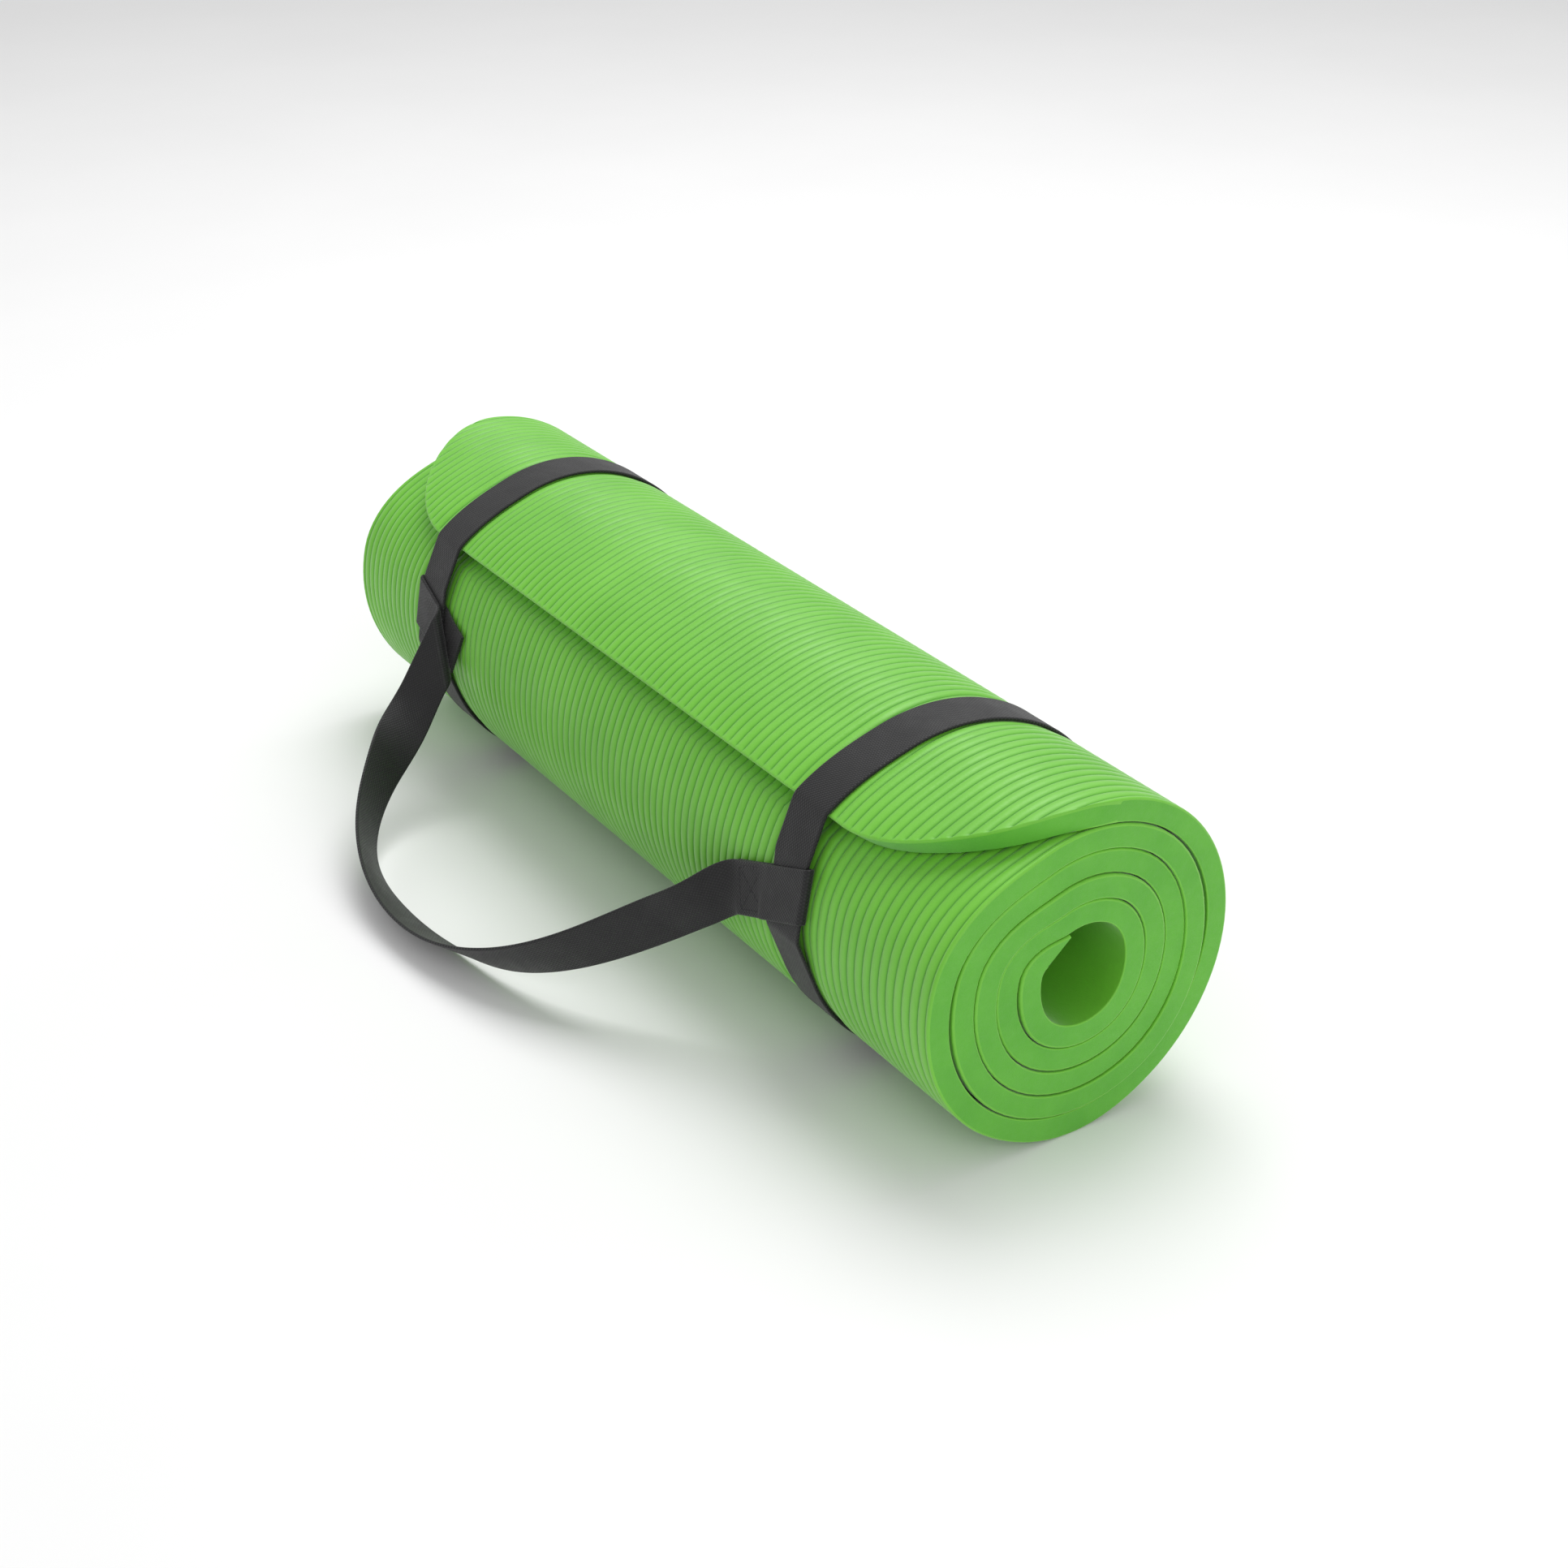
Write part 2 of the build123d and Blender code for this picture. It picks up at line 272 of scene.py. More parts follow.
def webbing_weave():
    """Black woven webbing. Its UV map runs in metres along and across the strip."""
    m = Nodes("webbing_weave")
    place = m.add("ShaderNodeUVMap", uv_map="weave")
    parts = m.add("ShaderNodeSeparateXYZ")
    m.link(place.outputs[0], parts.inputs[0])
    along = m.math("SINE", m.math("MULTIPLY", parts.outputs[0], 2 * pi / (2.2 * mm)))
    across = m.math("SINE", m.math("MULTIPLY", parts.outputs[1], 2 * pi / (1.8 * mm)))
    crossing = m.math("MULTIPLY", along, across)
    weft = m.math("ABSOLUTE", m.math("SINE", m.math("MULTIPLY", parts.outputs[0], pi / (1.1 * mm))))
    height = m.math("ADD", m.math("MULTIPLY", crossing, 0.5), m.math("MULTIPLY", weft, 0.35))
    fibres = m.noise(2600, 2)
    tint = m.ramp(height, [(0.0, (0.004, 0.004, 0.0045)), (1.0, (0.017, 0.016, 0.018))])
    m.link(tint, m.shader.inputs["Base Color"])
    rough = m.ramp(m.noise(90, 3), [(0.3, (0.50,) * 3), (0.7, (0.64,) * 3)])
    m.link(rough, m.shader.inputs["Roughness"])
    woven = m.bump(height, 0.22 * mm, 0.8)
    m.link(m.bump(fibres, 0.05 * mm, 0.5, woven), m.shader.inputs["Normal"])
    m.shader.inputs["Specular IOR Level"].default_value = 0.35
    m.shader.inputs["Sheen Weight"].default_value = 0.12
    return m.material


def sewing_thread():
    """Black polyester thread, a little shinier than the webbing."""
    m = Nodes("sewing_thread")
    colour = m.ramp(m.noise(900, 2), [(0.3, (0.012, 0.012, 0.013)), (0.7, (0.028, 0.027, 0.03))])
    m.link(colour, m.shader.inputs["Base Color"])
    m.link(m.bump(m.noise(4000, 1), 0.05 * mm, 0.6), m.shader.inputs["Normal"])
    m.shader.inputs["Roughness"].default_value = 0.42
    return m.material


skin = foam_skin()
cut_foam = foam_cut()
weave = webbing_weave()
thread_material = sewing_thread()


# --- The mat ---
def rounding(distance, radius):
    """How far a surface has dropped at a distance from an edge that is rounded to a radius."""
    left = np.clip(radius - distance, 0, radius)
    return radius - np.sqrt(radius**2 - left**2)


def mat_columns():
    """Stations across the mat: their x, the rib's height from 0 to 1, and which a plain face needs."""
    rib_pitch = 2 * (half_width - end_margin) / ribs
    shares = (0.0, 0.12, 0.3, 0.5, 0.7, 0.88)
    x, height, plain = [], [], []
    for rib in range(ribs):
        for share in shares:
            x.append(-half_width + end_margin + (rib + share) * rib_pitch)
            height.append(1 - abs(2 * share - 1) ** 3)
            plain.append(rib % 6 == 0 and share == 0)
    x.append(half_width - end_margin)
    height.append(0.0)
    plain.append(True)
    margin = [(2.5, 0.6), (1.9, 0.95), (1.2, 1), (0.8, 1), (0.45, 1), (0.2, 1), (0.05, 1), (0, 1)]
    ends = [(half_width - distance * mm, high, distance <= 1.2) for distance, high in margin]
    left = [(-place, high, needed) for place, high, needed in reversed(ends)]
    middle = list(zip(x, height, plain))
    return [np.array(column) for column in zip(*(left + middle + ends))]


def free_edge(x):
    """Winding angle of the free end across the mat, with its two rounded corners."""
    corner_phi = (corner_end_phi + free_end_phi) / 2
    half_chord = sin(radians((free_end_phi - corner_end_phi) / 2))
    corner = 2 * outer_radius * half_chord
    past = np.clip(np.abs(x) - (half_width - corner), 0, corner)
    up = np.sqrt(corner**2 - past**2) - corner / 2
    return 360 * turns + corner_phi + np.degrees(np.arcsin(np.clip(up / outer_radius, -1, 1)))


def band_centre(x, winding):
    """Where a band's middle is along the roll: it runs a little askew, as it was pulled on."""
    phi = np.mod(np.asarray(winding, float) + 20, 360) - 20
    if x < 0:
        return x + 1.5 * mm * np.sin(np.radians(phi - 52))
    stations = [(-20, 5.0), (52, -3.0), (80, 0.0), (135, 0.5), (250, 3.0), (340, 5.0)]
    return x + np.interp(phi, *zip(*stations)) * mm


def dent(x, winding):
    """How much the foam is pressed by the bands, from 0 to 1."""
    total = np.zeros(np.broadcast(x, winding).shape)
    for band_x in (near_band_x, far_band_x):
        beside = np.abs(x - band_centre(band_x, winding)) - webbing_width / 2
        total += smooth(1 - beside / press_spread)
    first_touch = 360 * (turns - 1) + 88
    return total * smooth((winding - first_touch) / 14)


def sideways(winding):
    """How far each part of the sheet has crept along the roll."""
    back = 360 * (turns - 1) + 262
    return -2.4 * mm * bell((winding - back) / 110) + 0.5 * mm * np.sin(np.radians(winding * 0.61))


def mat_outside(x, winding, ridge, edge_distance):
    """Radius of the sheet's outer face."""
    radius = wrap_floor(winding) - drawn_in(winding) + sheet
    end_distance = half_width - np.abs(x)
    # Between the bands the wrap bulges again right below the free end, and under its corners it is pressed.
    below = winding - 360 * (turns - 1)
    between = smooth((0.222 - np.abs(x)) / 0.04)
    full = smooth((below - 53) / 7) * (below < climb_end + 1)
    radius = radius + between * full * np.clip(outer_radius - 0.2 * mm - radius, 0, 1)
    corner_gap = 1.6 * mm * smooth((np.abs(x) - 0.2) / 0.04) * smooth((end_distance - 4 * mm) / 0.02)
    radius = radius - corner_gap * (winding < 1520) * smooth((1500 - winding) / 40)
    fade = smooth(edge_distance / (3 * mm))
    radius = radius - rib_depth * (1 - ridge) * fade
    radius = radius - press * dent(x, winding)
    radius = radius + 1.4 * mm * bell((winding - 360 * (turns - 1) - 180) / 34)
    return radius - rounding(end_distance, end_round) - rounding(edge_distance, free_round)


def mat_inside(x, winding, edge_distance):
    """Radius of the sheet's inner face."""
    radius = wrap_floor(winding) - drawn_in(winding)
    end_distance = half_width - np.abs(x)
    return radius + rounding(end_distance, inside_round) + rounding(edge_distance, inside_round)


def mat_points(x, winding, radius):
    """Points in the frame, kept off the floor and off the bands under the roll."""
    phi = np.radians(winding)
    y = -radius * np.sin(phi)
    z = axis_height + radius * np.cos(phi)
    lowest = 0.25 * mm + (webbing + 0.1 * mm) * dent(x, winding)
    z = np.maximum(z, np.where(winding > 360 * (turns - 1) - 90, lowest, 0))
    return np.stack(np.broadcast_arrays(x + sideways(winding), y, z), axis=-1)


def make_mat():
    """The sheet as one closed mesh: both faces, ribs, cut ends, the free end and the sheared inner end."""
    x, ridge, plain = mat_columns()
    every = np.arange(len(x))
    needed = every[plain]
    tip = np.arange(inner_tip, inner_heel, 5.0)
    rolled = np.linspace(inner_heel, ribbed_from, 228)
    blend_from = 360 * turns - 24.0
    ribbed = np.linspace(ribbed_from, blend_from, 101)[1:]
    edge = free_edge(x)
    edge_radius = outer_radius + 0.5 * pitch
    closeness = np.array([3.2, 2.4, 1.6, 1.0, 0.55, 0.25, 0.08, 0]) * mm
    shares = np.linspace(0, 1, 22)[1:]
    last = edge - np.degrees(closeness[0] / edge_radius)
    rows = [np.full(len(x), w) for w in (*tip, *rolled, *ribbed)]
    rows += [blend_from + share * (last - blend_from) for share in shares]
    rows += [edge - np.degrees(distance / edge_radius) for distance in closeness[1:]]
    vertices, faces, hollow_shade_and_dirt = [], [], []

    def add_row(points, groove_shade_and_dirt, columns):
        first = len(vertices)
        vertices.extend(points[columns])
        hollow_shade_and_dirt.extend(groove_shade_and_dirt[columns])
        return {column: first + place for place, column in enumerate(columns)}

    def bridge(row_a, row_b, flip):
        """Faces between two rows. Where only one has a column, it becomes a corner of a wider face."""
        shared = [column for column in row_a if column in row_b]
        for left, right in zip(shared[:-1], shared[1:]):
            lower = [row_a[column] for column in range(left, right + 1) if column in row_a]
            upper = [row_b[column] for column in range(left, right + 1) if column in row_b]
            face = lower + upper[::-1]
            faces.append(face[::-1] if flip else face)

    outside, inside = [], []
    for number, winding in enumerate(rows):
        distance = np.radians(edge - winding) * edge_radius
        fine = winding[0] > ribbed_from
        out = mat_points(x, winding, mat_outside(x, winding, ridge if fine else np.ones(len(x)), distance))
        # How deep each point sits in a rib hollow, kept to paint shade and a little dirt into the foam's
        # colour there.
        depth = (1 - ridge) ** 2 * smooth(distance / (3 * mm)) if fine else np.zeros(len(x))
        outside.append(add_row(out, depth, every if fine else needed))
        if winding[0] >= inner_heel:
            is_edge = number == len(rows) - 1
            inner = mat_points(x, winding, mat_inside(x, winding, distance))
            inside.append(add_row(inner, np.zeros(len(x)), every if is_edge else needed))
    # The free end's own face, straight across from the outer face to the inner.
    outer_last = np.array([vertices[i] for i in outside[-1].values()])
    inner_last = np.array([vertices[i] for i in inside[-1].values()])
    end_rows = [outside[-1]]
    for share in (0.2, 0.4, 0.6, 0.8):
        between = outer_last * (1 - share) + inner_last * share
        end_rows.append(add_row(between, np.zeros(len(x)), every))
    end_rows.append(inside[-1])

    for row_a, row_b in zip(outside[:-1], outside[1:]):
        bridge(row_a, row_b, False)
    for row_a, row_b in zip(inside[:-1], inside[1:]):
        bridge(row_a, row_b, True)
    bridge(outside[0], inside[0], True)
    skin_faces = len(faces)
    for row_a, row_b in zip(end_rows[:-1], end_rows[1:]):
        bridge(row_a, row_b, False)
    # The two spiral ends of the roll.
    first, final = 0, len(x) - 1
    offset = len(outside) - len(inside)
    for column, flip in ((first, False), (final, True)):
        wedge = [row[column] for row in outside[: offset + 1]] + [inside[0][column]]
        faces.append(wedge if flip else wedge[::-1])
        for number in range(len(inside) - 1):
            outer_a, outer_b = outside[offset + number][column], outside[offset + number + 1][column]
            inner_a, inner_b = inside[number][column], inside[number + 1][column]
            face = [outer_a, outer_b, inner_b, inner_a]
            if number == len(inside) - 2:
                face = [outer_a, *[row[column] for row in end_rows], inner_a]
            faces.append(face if flip else face[::-1])
    made = new_object("mat_foam", vertices, faces, [skin, cut_foam])
    # Painted shade: these rib-hollow depths darken the skin's colour, a little of it as dirt.
    groove_shade_and_dirt = made.data.attributes.new("groove_shade_and_dirt", "FLOAT", "POINT")
    groove_shade_and_dirt.data.foreach_set("value", np.array(hollow_shade_and_dirt, np.float32))
    for polygon in made.data.polygons[skin_faces:]:
        polygon.material_index = 1
    return made


mat_foam = make_mat()
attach(mat_foam, "roll")
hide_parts("mat")


# --- The strap ---
def place_on_roll(x, radius, phi):
    """A point at an angle phi and a radius round the roll."""
    return np.array([x, -radius * sin(radians(phi)), axis_height + radius * cos(radians(phi))])


def tube_faces(rows, ring):
    """Faces between rows of points that each go once round a tube, and a cap on each end."""
    faces = []
    for row in range(rows - 1):
        near, far = row * ring, (row + 1) * ring
        for place in range(ring):
            after = (place + 1) % ring
            faces.append((near + place, near + after, far + after, far + place))
    faces.append(tuple(range(ring))[::-1])
    faces.append(tuple((rows - 1) * ring + place for place in range(ring)))
    return faces


def webbing_mesh(name, middle):
    """Webbing of real thickness round a grid of points on its middle surface, with rolled selvedges."""
    middle = np.asarray(middle)
    rows, columns = middle.shape[:2]
    along = np.gradient(middle, axis=0)
    across = np.gradient(middle, axis=1)
    normals = np.cross(along, across)
    normals /= np.linalg.norm(normals, axis=2, keepdims=True)
    edge_share = webbing / webbing_width
    beyond = np.clip((np.abs(across_shares) - 1 + edge_share) / edge_share, 0, 1)
    selvedge = 1 + 0.06 * bell((np.abs(across_shares) - 0.9) / 0.08)
    thick = webbing / 2 * np.sqrt(1 - beyond**2) * selvedge
    top = middle + normals * thick[None, :, None]
    bottom = middle - normals * thick[None, :, None]
    rings = np.concatenate([top, bottom[:, -2:0:-1]], axis=1)
    ring = rings.shape[1]
    made = new_object(name, rings.reshape(-1, 3), tube_faces(rows, ring), [weave], webbing_smooth_angle)
    run = distances(middle[:, columns // 2])
    side = np.concatenate([across_shares, across_shares[-2:0:-1]]) * webbing_width / 2
    uv = made.data.uv_layers.new(name="weave")
    corners = np.zeros(len(made.data.loops), int)
    made.data.loops.foreach_get("vertex_index", corners)
    uv.data.foreach_set("uv", np.stack([run[corners // ring], side[corners % ring]], axis=1).ravel())
    return made


def cross_shares():
    """Stations across webbing, from -1 to 1, close together at the rounded edges."""
    half = [0, 0.15, 0.3, 0.45, 0.6, 0.74, 0.84, 0.9, 0.9357, 0.96, 0.98, 0.993, 1]
    return np.array([-place for place in half[:0:-1]] + half)


across_shares = cross_shares()
sleeve_normal = place_on_roll(0, 1, sleeve_phi) - np.array([0, 0, axis_height])
sleeve_up = np.array([0, sleeve_normal[2], -sleeve_normal[1]])
along_roll = np.array([1.0, 0, 0])
skew = radians(sleeve_skew)
sleeve_floor = outer_radius + slip
band_floor = sleeve_floor + webbing + fold_gap
sleeve_roof = band_floor + webbing + fold_gap
sleeve_height = webbing_width / cos(skew)
sleeve_reach = sleeve_height / 2 + tan(skew) * webbing_width / 2
sleeve_half = webbing_width / 2 + fold_gap + webbing


def on_sleeve(band_x, side, away, up, distance):
    """A point by a sleeve: away from its band towards the handle, up, and out from the roll's axis."""
    start = np.array([band_x + side * away, 0, axis_height])
    return start + sleeve_normal * distance + sleeve_up * up


def distances(points):
    """The distance along a line of points up to each of them."""
    steps = np.linalg.norm(np.diff(points, axis=0), axis=1)
    return np.concatenate([[0], np.cumsum(steps)])


def resample(points, step):
    """Even stations by the distance in the first two columns, softened where the line has corners."""
    points = np.asarray(points)
    run = distances(points[:, :2])
    stations = np.linspace(0, run[-1], int(run[-1] / step) + 1)
    even = np.stack([np.interp(stations, run, column) for column in points.T], axis=1)
    for _ in range(3):
        even[1:-1] = (even[:-2] + even[1:-1] * 2 + even[2:]) / 4
    return even


def make_band(name, band_x):
    """One band round the roll: pressed into the foam, bridging below the free end, lapped at the back."""
    half_lap = degrees(lap_length / 2 / (outer_radius + 2 * webbing))
    middle_floor = band_floor + webbing / 2
    bottom_phi = sleeve_phi + degrees(atan2(sleeve_reach, middle_floor))
    round_radius = outer_radius + slip + webbing / 2 - press
    touch = bottom_phi + degrees(acos(round_radius / hypot(middle_floor, sleeve_reach)))
    start = lap_phi - half_lap
    stop = lap_phi + half_lap + 360
    path = []

    def follow(first, last):
        for phi in np.arange(first, last, 1.0):
            winding = 360 * (turns - 1) + phi
            over = phi > 360 + free_end_phi
            lifted = (webbing + 2 * fold_gap) * smooth((phi - start - 360 + 9) / 7)
            radius = float(wrap_floor(winding - 360 * over)) + sheet + slip + webbing / 2 - press + lifted
            point = place_on_roll(0, radius, phi)
            rest = webbing / 2 + lifted
            path.append((point[1], max(point[2], rest), phi))

    follow(start, 360 + free_end_phi)
    for along in (-sleeve_reach, sleeve_reach):
        point = on_sleeve(0, 1, 0, -along, middle_floor)
        path.append((point[1], point[2], 360 + sleeve_phi + degrees(atan2(along, middle_floor))))
    follow(360 + touch, stop)
    line = resample(path, 1.2 * mm)
    centres = np.stack([band_centre(band_x, line[:, 2]), line[:, 0], line[:, 1]], axis=1)
    tangents = np.gradient(centres, axis=0)
    tangents /= np.linalg.norm(tangents, axis=1, keepdims=True)
    wide = along_roll - tangents * (tangents @ along_roll)[:, None]
    wide *= webbing_width / 2 / np.linalg.norm(wide, axis=1, keepdims=True)
    grid = centres[:, None] + wide[:, None] * across_shares[None, :, None]
    return webbing_mesh(name, grid)


def smooth_line(points, first_slope, last_slope):
    """A cubic spline through points, clamped to a slope at each end, as a function of distance."""
    points = np.asarray(points, float)
    run = distances(points[:, :3])
    gaps = np.diff(run)
    count = len(points)
    matrix = np.zeros((count, count))
    target = np.zeros_like(points)
    matrix[0, 0] = matrix[-1, -1] = 1
    target[0], target[-1] = first_slope, last_slope
    rises = np.diff(points, axis=0) / gaps[:, None]
    for place in range(1, count - 1):
        matrix[place, place - 1] = gaps[place]
        matrix[place, place] = 2 * (gaps[place - 1] + gaps[place])
        matrix[place, place + 1] = gaps[place - 1]
        target[place] = 3 * (gaps[place] * rises[place - 1] + gaps[place - 1] * rises[place])
    slopes = np.linalg.solve(matrix, target)

    def at(distance):
        place = int(np.clip(np.searchsorted(run, distance) - 1, 0, count - 2))
        gap = gaps[place]
        share = (distance - run[place]) / gap
        a, b = points[place], points[place + 1]
        bend_a = gap * slopes[place] - (b - a)
        bend_b = -gap * slopes[place + 1] + (b - a)
        return (1 - share) * a + share * b + share * (1 - share) * ((1 - share) * bend_a + share * bend_b)

    return at, run[-1]


def sleeve_rows(band_x, side, tab_end, front_end, square_from, step=1.0 * mm):
    """Rows of the webbing round a band, from its sewn end behind the tab to the front layer's own end."""
    tab_back = band_floor
    back = sleeve_floor + webbing / 2
    front = sleeve_roof + webbing / 2
    tab_front = band_floor + webbing
    turn_radius = (front - back) / 2
    turn_at = -(sleeve_half - webbing / 2 - turn_radius)
    stations = []
    for away in np.arange(tab_end, turn_at, -step):
        share = smooth((away - tab_from) / (tab_to - tab_from))
        stations.append((away, back + (tab_back - back) * share, square_by))
    for angle in np.linspace(0, pi, 12):
        place = turn_at - turn_radius * sin(angle)
        stations.append((place, (front + back) / 2 - turn_radius * cos(angle), square_by))
    for away in np.arange(turn_at + step, front_end, step):
        share = smooth((away - tab_from) / (tab_to - tab_from)) if side < 0 else 0
        stations.append((away, front + (tab_front - front) * share, square_from))
    rows = []
    for away, distance, square in stations:
        centre = on_sleeve(band_x, side, away, -tan(skew) * away, distance)
        straight = sleeve_up * cos(skew) + along_roll * side * sin(skew)
        share = smooth((away - square) / square_over)
        half = straight * webbing_width / 2 * share + sleeve_up * sleeve_height / 2 * (1 - share)
        rows.append(centre + across_shares[:, None] * half)
    return rows


def make_handle():
    """The handle with both its sleeves, all one strip of webbing, turned over once beside the far band."""
    tab_end = sleeve_half + near_tab * cos(skew)
    near_rows = sleeve_rows(near_band_x, -1, tab_end, tab_end, square_by)
    far_tab_end = sleeve_half + far_tab * cos(skew)
    flat_from = far_square_by + square_over
    far_rows = sleeve_rows(far_band_x, 1, far_tab_end, flat_from + 1 * mm, far_square_by)[::-1]

    # The turned-over stretch: flat beside the band, round the fold, and flat again in the leg.
    front = sleeve_roof + webbing / 2
    corner = on_sleeve(far_band_x, 1, fold_place, -tan(skew) * fold_place, front)
    towards = -along_roll * cos(skew) + sleeve_up * sin(skew)
    across = sleeve_up * cos(skew) + along_roll * sin(skew)
    slant = radians(fold_slant)
    turn = radians(fold_turn)
    crease = towards * cos(slant) + across * sin(slant)
    past = towards * sin(slant) - across * cos(slant)
    leg_past = past * cos(turn) - sleeve_normal * sin(turn)
    leg_run = crease * cos(slant) + leg_past * sin(slant)
    leg_across = crease * sin(slant) - leg_past * cos(slant)

    def folded(run, wide):
        along = cos(slant) * run + sin(slant) * wide
        beyond = sin(slant) * run - cos(slant) * wide
        if beyond >= 0:
            return corner + crease * along + past * beyond
        angle = min(-beyond / fold_radius, turn)
        point = corner + crease * along - past * fold_radius * sin(angle)
        point = point + sleeve_normal * fold_radius * (1 - cos(angle))
        return point + leg_past * min(beyond + fold_radius * turn, 0)

    reach = webbing_width / 2 / tan(slant)
    first = -fold_radius * turn / sin(slant) - reach
    last = (fold_place - flat_from) / cos(skew)
    widths = across_shares * webbing_width / 2
    fold_rows = [[folded(run, wide) for wide in widths] for run in np.arange(first, last, 0.8 * mm)]

    # The free stretch between the near tab and the leg.
    tab_front = band_floor + webbing
    start = on_sleeve(near_band_x, -1, tab_end, -tan(skew) * tab_end, tab_front)
    start_run = -along_roll * cos(skew) - sleeve_up * sin(skew)
    start_across = sleeve_up * cos(skew) - along_roll * sin(skew)
    end = folded(first, 0)
    places = [start] + [np.array(point[:3]) * mm for point in handle_route] + [end]
    stations = [np.concatenate([start, start_across])]
    for number, (*_, lean) in enumerate(handle_route, 1):
        run = places[number + 1] - places[number - 1]
        run = run / np.linalg.norm(run)
        upright = np.array([0, 0, 1]) - run * run[2]
        upright = upright / np.linalg.norm(upright)
        outwards = np.cross(upright, run)
        lean = radians(lean)
        stations.append(np.concatenate([places[number], upright * cos(lean) + outwards * sin(lean)]))
    stations.append(np.concatenate([end, leg_across]))
    still = np.zeros(3)
    first_slope = np.concatenate([start_run, still])
    last_slope = np.concatenate([leg_run, still])
    at, length = smooth_line(stations, first_slope, last_slope)
    free_rows = []
    for distance in np.linspace(0, length, int(length / (1.5 * mm))):
        here = at(distance)
        ahead = at(min(distance + 0.1 * mm, length)) - at(max(distance - 0.1 * mm, 0))
        run = ahead[:3] / np.linalg.norm(ahead[:3])
        wide = here[3:] - run * (here[3:] @ run)
        wide = wide / np.linalg.norm(wide)
        free_rows.append(here[:3] + np.outer(widths, wide))
    grid = np.array(near_rows + free_rows[1:-1] + fold_rows + far_rows)
    return webbing_mesh("carry_handle_webbing", grid)


def stitch(centre, run, normal, length=stitch_length, radius=stitch_radius):
    """One sewn stitch: a short round-ended bead of thread, half sunk into the webbing."""
    run = np.asarray(run) / np.linalg.norm(run)
    side = np.cross(normal, run)
    points = []
    ring, levels = 8, 7
    for level in range(levels):
        share = -1 + 2 * level / (levels - 1)
        wide = radius * sqrt(max(1 - abs(share) ** 3, 0.04))
        for spoke in range(ring):
            angle = 2 * pi * spoke / ring
            lift = normal * (sin(angle) * wide + stitch_rise * (1 - share**2))
            points.append(centre + run * share * length / 2 + side * cos(angle) * wide + lift)
    return points, tube_faces(levels, ring)


def sewn_lines(name, lines, node):
    """Rows of stitches along straight lines, each given by its two ends and the normal of its face."""
    points, faces = [], []
    for first, last, normal in lines:
        first, last = np.asarray(first), np.asarray(last)
        length = np.linalg.norm(last - first)
        count = max(int(round(length / stitch_pitch)), 1)
        for number in range(count):
            centre = first + (last - first) * (number + 0.5) / count
            more, sides = stitch(centre, last - first, np.asarray(normal))
            faces.extend([tuple(corner + len(points) for corner in face) for face in sides])
            points.extend(more)
    made = new_object(name, points, faces, [thread_material], 60)
    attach(made, "strap")
    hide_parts(node)
    return made


def tab_spot(band_x, side, along, wide, height):
    """A point on a tab: along its run from the band's fold line, across it, and above its outer face."""
    away = sleeve_half + along * cos(skew) + wide * sin(skew)
    up = -tan(skew) * sleeve_half - along * sin(skew) + wide * cos(skew)
    return on_sleeve(band_x, side, away, up, height)


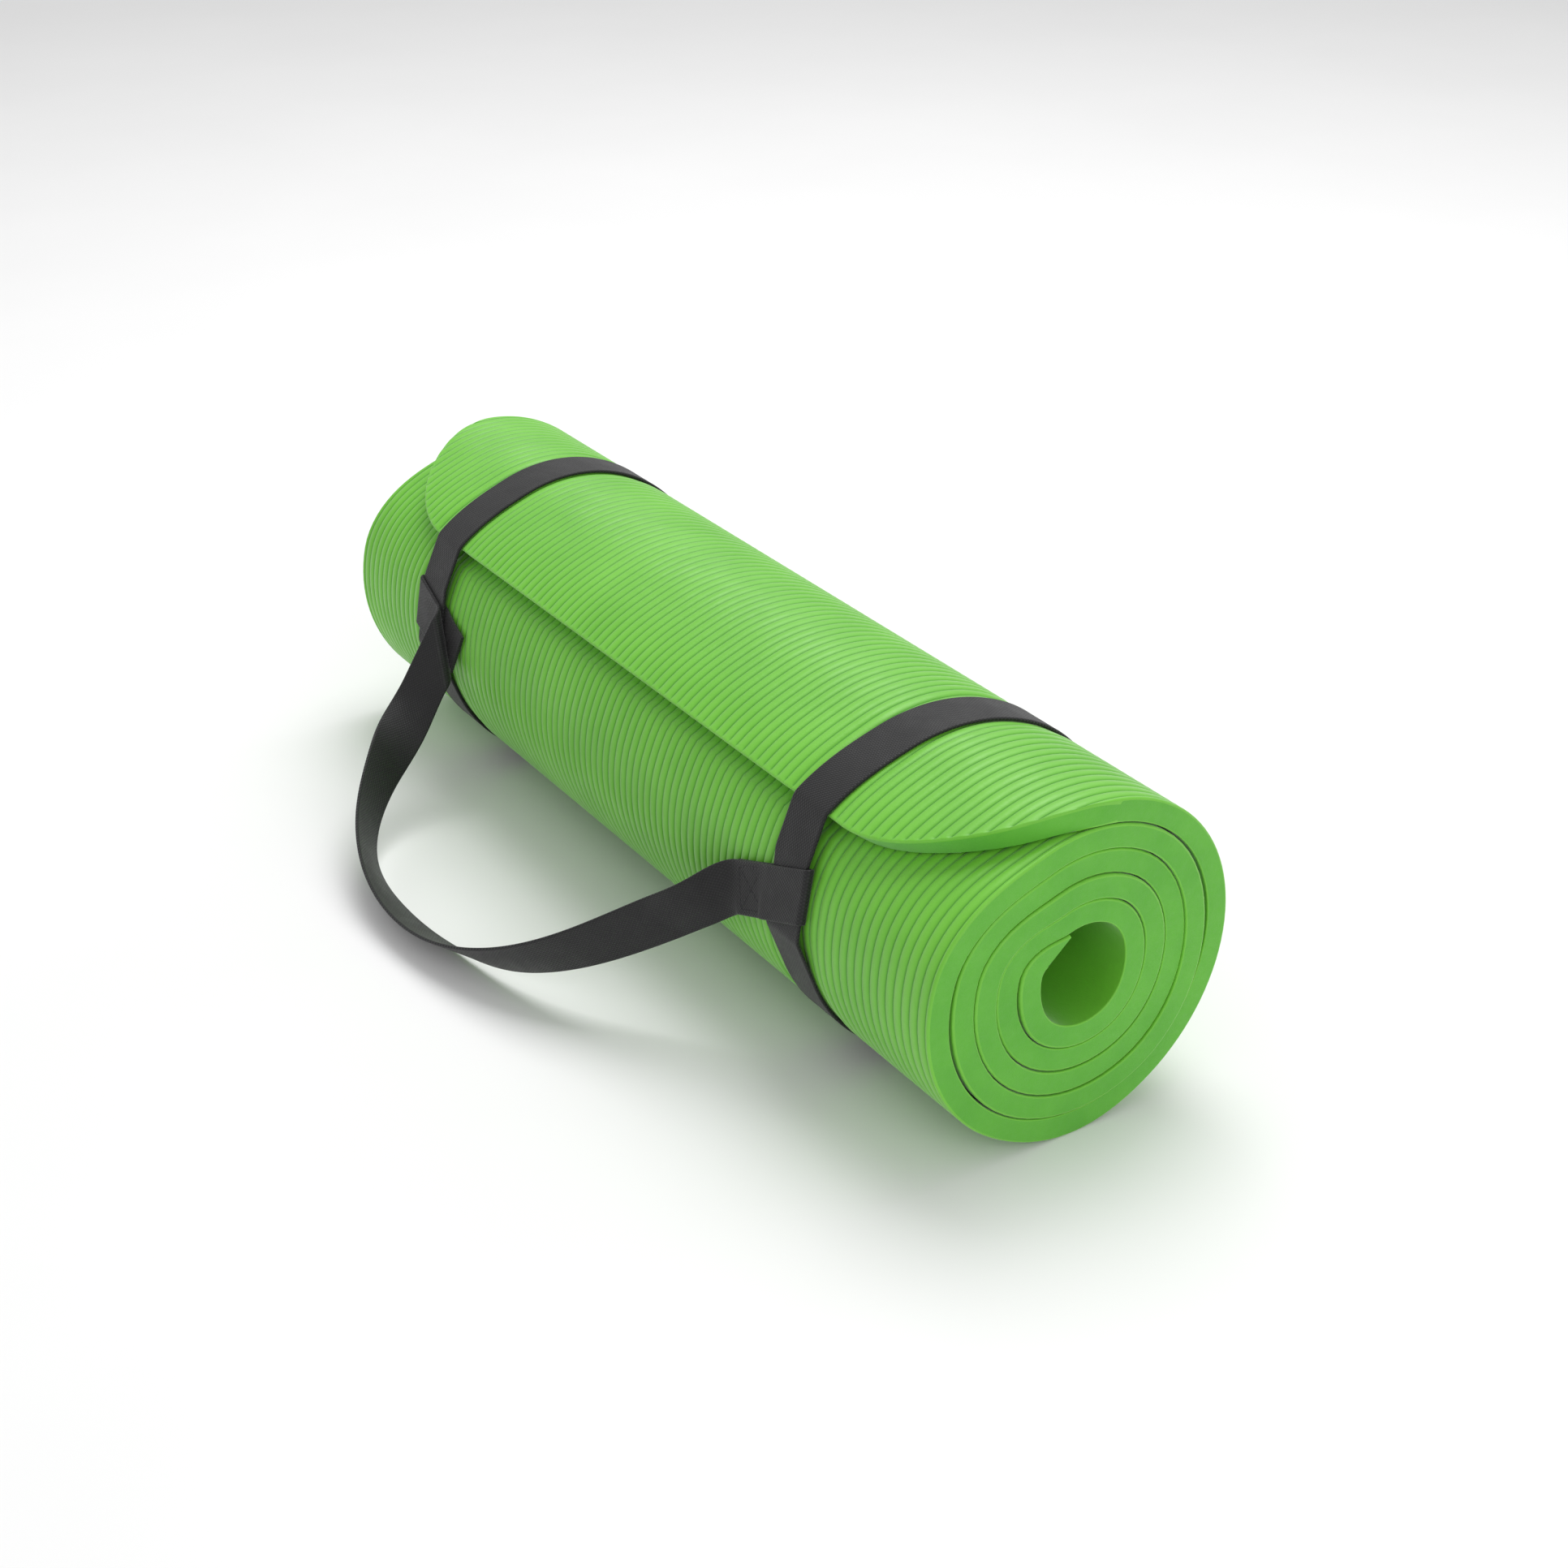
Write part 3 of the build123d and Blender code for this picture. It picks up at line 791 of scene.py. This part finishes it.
def make_stitching():
    """The box and cross on the near tab, two rows by the far fold, and pairs of rows on both laps."""
    near_face = band_floor + 1.5 * webbing
    low, high = stitch_margin, near_tab - stitch_margin
    wide = webbing_width / 2 - stitch_margin
    corners = [(low, -wide), (low, wide), (high, wide), (high, -wide)]
    spots = [tab_spot(near_band_x, -1, *corner, near_face) for corner in corners]
    pairs = [(0, 1), (1, 2), (2, 3), (3, 0), (0, 2), (1, 3)]
    box = [(spots[a], spots[b], sleeve_normal) for a, b in pairs]
    sewn_lines("near_sleeve_seam", box, "near_sleeve_stitching")
    far_face = sleeve_roof + webbing
    rows = []
    for along in (row_pitch, 2 * row_pitch):
        ends = [tab_spot(far_band_x, 1, along, place * mm, far_face) for place in (-11.5, -3.0)]
        rows.append((*ends, sleeve_normal))
    sewn_lines("far_sleeve_seam", rows, "far_sleeve_stitching")
    half_lap = degrees(lap_length / 2 / (outer_radius + 2 * webbing))
    face = outer_radius + slip + 2 * webbing + 2 * fold_gap - press
    for name, band_x in (("near", near_band_x), ("far", far_band_x)):
        rows = []
        for share in (-0.85, -0.75, 0.75, 0.85):
            phi = lap_phi + half_lap * share
            middle = float(band_centre(band_x, phi))
            normal = place_on_roll(0, 1, phi) - np.array([0, 0, axis_height])
            rows.append([place_on_roll(middle + end * wide, face, phi) for end in (-1, 1)] + [normal])
        sewn_lines(f"{name}_lap_seam", rows, f"{name}_lap_stitching")


for band_name, band_x in (("near_band", near_band_x), ("far_band", far_band_x)):
    band = make_band(f"{band_name}_webbing", band_x)
    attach(band, "strap")
    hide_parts(band_name)

handle = make_handle()
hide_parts("near_sleeve", "carry_handle", "far_sleeve")
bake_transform(handle)
make_stitching()

# --- Floor, light and camera ---
floor_material = Nodes("pale_floor")
floor_tint = floor_material.ramp(floor_material.noise(3), [(0.3, (0.86,) * 3), (0.7, (0.88,) * 3)])
floor_material.link(floor_tint, floor_material.shader.inputs["Base Color"])
floor_material.shader.inputs["Roughness"].default_value = 0.9
floor_size = 14.0
corners = [(sx * floor_size, sy * floor_size, 0) for sx, sy in ((-1, -1), (1, -1), (1, 1), (-1, 1))]
floor = new_object("floor", corners, [(0, 1, 2, 3)], [floor_material.material])

world = bpy.data.worlds.new("studio")
world.use_nodes = True
world.node_tree.nodes["Background"].inputs["Color"].default_value = (1, 1, 1, 1)
world.node_tree.nodes["Background"].inputs["Strength"].default_value = 0.62
bpy.context.scene.world = world


def soft_light(name, place, target, size, power):
    """A large square studio light that faces a point."""
    data = bpy.data.lights.new(name, "AREA")
    data.shape = "SQUARE"
    data.size = size
    data.energy = power
    made = bpy.data.objects.new(name, data)
    made.location = place
    made.rotation_euler = (Vector(target) - Vector(place)).to_track_quat("-Z", "Y").to_euler()
    bpy.context.scene.collection.objects.link(made)
    return made


soft_light("overhead", (-0.5, 0.7, 2.4), (0, 0, 0.1), 1.6, 42)
soft_light("front_fill", (2.2, -0.6, 1.2), (0.2, 0, 0.1), 1.4, 12)

camera_data = bpy.data.cameras.new("camera")
camera_data.lens = 57.45
camera_data.sensor_width = 36
camera = bpy.data.objects.new("camera", camera_data)
camera.location = (1.0631, -0.6586, 0.7233)
look = Vector((-0.74067, 0.47935, -0.47077))
camera.rotation_euler = look.to_track_quat("-Z", "Y").to_euler()
bpy.context.scene.collection.objects.link(camera)
bpy.context.scene.camera = camera
bpy.context.scene.view_settings.view_transform = "Standard"
